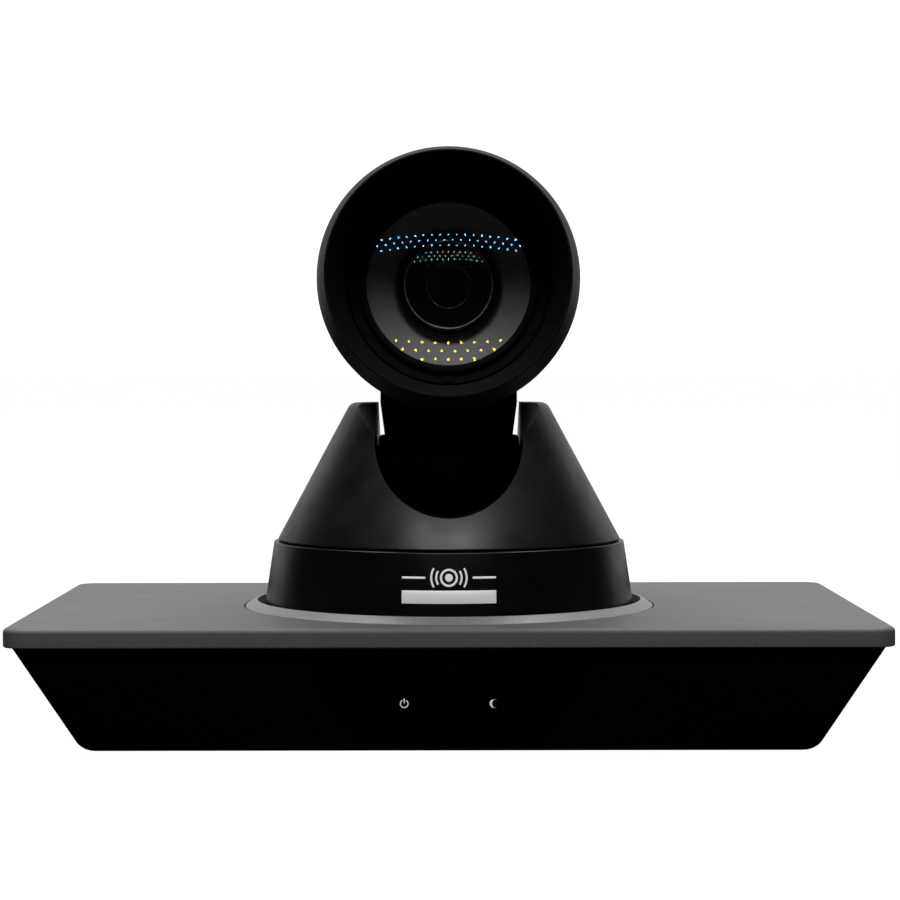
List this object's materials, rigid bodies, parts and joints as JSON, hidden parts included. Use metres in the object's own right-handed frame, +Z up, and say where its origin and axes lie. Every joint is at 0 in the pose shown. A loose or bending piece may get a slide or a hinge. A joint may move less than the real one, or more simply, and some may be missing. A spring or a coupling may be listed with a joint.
{
  "type": "ptz camera",
  "caption": "Desktop pan-tilt-zoom conference camera: hooded lens head on a forked, turning cone over a wide flat base.",
  "frame": {"origin": "on the ground under the pan axis, at the middle of the wide top plate", "axes": "-Y the way the lens looks, +X to the right seen from the front, +Z up"},
  "size_m": [0.2426, 0.144, 0.1675],
  "materials": {
    "satin_grey": "fine satin paint",
    "gloss_black": "high gloss",
    "satin_black": "satin",
    "dark_window": "infrared-passing, glossy",
    "matte_black": "matte",
    "steel": "plated",
    "dark_steel": "black oxide",
    "brass": "turned",
    "rubber": "matte",
    "board": "solder mask",
    "chip": "matte",
    "lens_glass": "coated",
    "lens_metal": "anodised",
    "clear_plastic": "clear",
    "silver": "polished",
    "white_plastic": "moulded",
    "sheet_aluminium": "sheet"
  },
  "bodies": {
    "base": {"base_top_plate": "satin_grey", "collar_ring": "satin_grey", "base_body": "gloss_black", "bottom_cover": "dark_steel", "ir_window": "dark_window", "light_guides": "clear_plastic", "indicator_board": "board", "ir_receivers": "chip", "rubber_feet": "rubber", "tripod_insert": "brass", "bracket_inserts": "brass", "base_screws": "steel", "main_board": "board", "board_chips": "chip", "rear_panel": "matte_black", "dc_jack": "chip", "rocker_frame": "matte_black", "lan_socket": "steel", "hdmi_socket": "steel", "usb_socket": "steel", "round_sockets": "matte_black", "pan_bracket": "steel", "pan_post": "steel", "bearing_inner_rings": "steel", "pan_motor": "steel"},
    "rocker": {"power_rocker": "matte_black"},
    "pan_motor_spindle": {"pan_pinion": "brass"},
    "yoke": {"bearing_outer_rings": "steel", "pan_gear": "white_plastic", "pan_hub": "sheet_aluminium", "yoke_band": "gloss_black", "yoke_cover": "satin_black", "tilt_frame": "sheet_aluminium", "tilt_bushes": "brass", "tilt_motor": "steel", "tilt_belt": "rubber", "nameplate": "silver", "yoke_screws": "steel"},
    "tilt_motor_spindle": {"tilt_motor_pulley": "sheet_aluminium"},
    "head": {"lens_hood": "satin_black", "head_barrel": "gloss_black", "head_rear_cap": "gloss_black", "head_neck": "matte_black", "neck_screws": "steel", "tilt_axles": "steel", "tilt_pulley": "white_plastic", "lens_carrier": "matte_black", "carrier_screws": "dark_steel", "bezel_ring": "gloss_black", "front_glass": "lens_glass", "baffle_cone": "lens_metal", "lens_ring": "gloss_black", "front_element": "lens_glass", "lens_tube": "lens_metal", "iris_plate": "lens_metal", "module_plate": "sheet_aluminium", "sensor_board": "board"},
    "zoom_lens": {"zoom_group": "lens_metal"},
    "focus_lens": {"focus_group": "lens_metal"},
    "ir_cut_filter": {"filter_slide": "matte_black"}
  },
  "joints": [
    {"name": "pan", "type": "hinge", "parent": "base", "child": "yoke", "pos_m": [0, 0, 0.05], "axis": [0, 0, 1], "range_deg": [-170, 170]},
    {"name": "tilt", "type": "hinge", "parent": "yoke", "child": "head", "pos_m": [0, 0, 0.08], "axis": [-1, 0, 0], "range_deg": [-32.4, 27.6]},
    {"name": "pan_motor_turn", "type": "hinge", "parent": "base", "child": "pan_motor_spindle", "pos_m": [0.042, 0, 0.024], "axis": [0, 0, 1], "range_deg": [-1020, 1020]},
    {"name": "tilt_motor_turn", "type": "hinge", "parent": "yoke", "child": "tilt_motor_spindle", "pos_m": [0.02, 0, 0.047], "axis": [-1, 0, 0], "range_deg": [-81, 69]},
    {"name": "zoom_travel", "type": "slide", "parent": "head", "child": "zoom_lens", "axis": [0, 0.9991, -0.0419], "range_m": [-0.003, 0.009]},
    {"name": "focus_travel", "type": "slide", "parent": "head", "child": "focus_lens", "axis": [0, 0.9991, -0.0419], "range_m": [0, 0.005]},
    {"name": "filter_travel", "type": "slide", "parent": "head", "child": "ir_cut_filter", "axis": [-1, 0, 0], "range_m": [0, 0.009]},
    {"name": "power_switch", "type": "hinge", "parent": "base", "child": "rocker", "pos_m": [0.046, 0.063, 0.016], "axis": [-1, 0, 0], "range_deg": [-14, 0]}
  ],
  "couplings": [
    {"joint": "pan_motor_turn", "follows": "pan", "ratio": -6},
    {"joint": "tilt_motor_turn", "follows": "tilt", "ratio": 2.5}
  ]
}
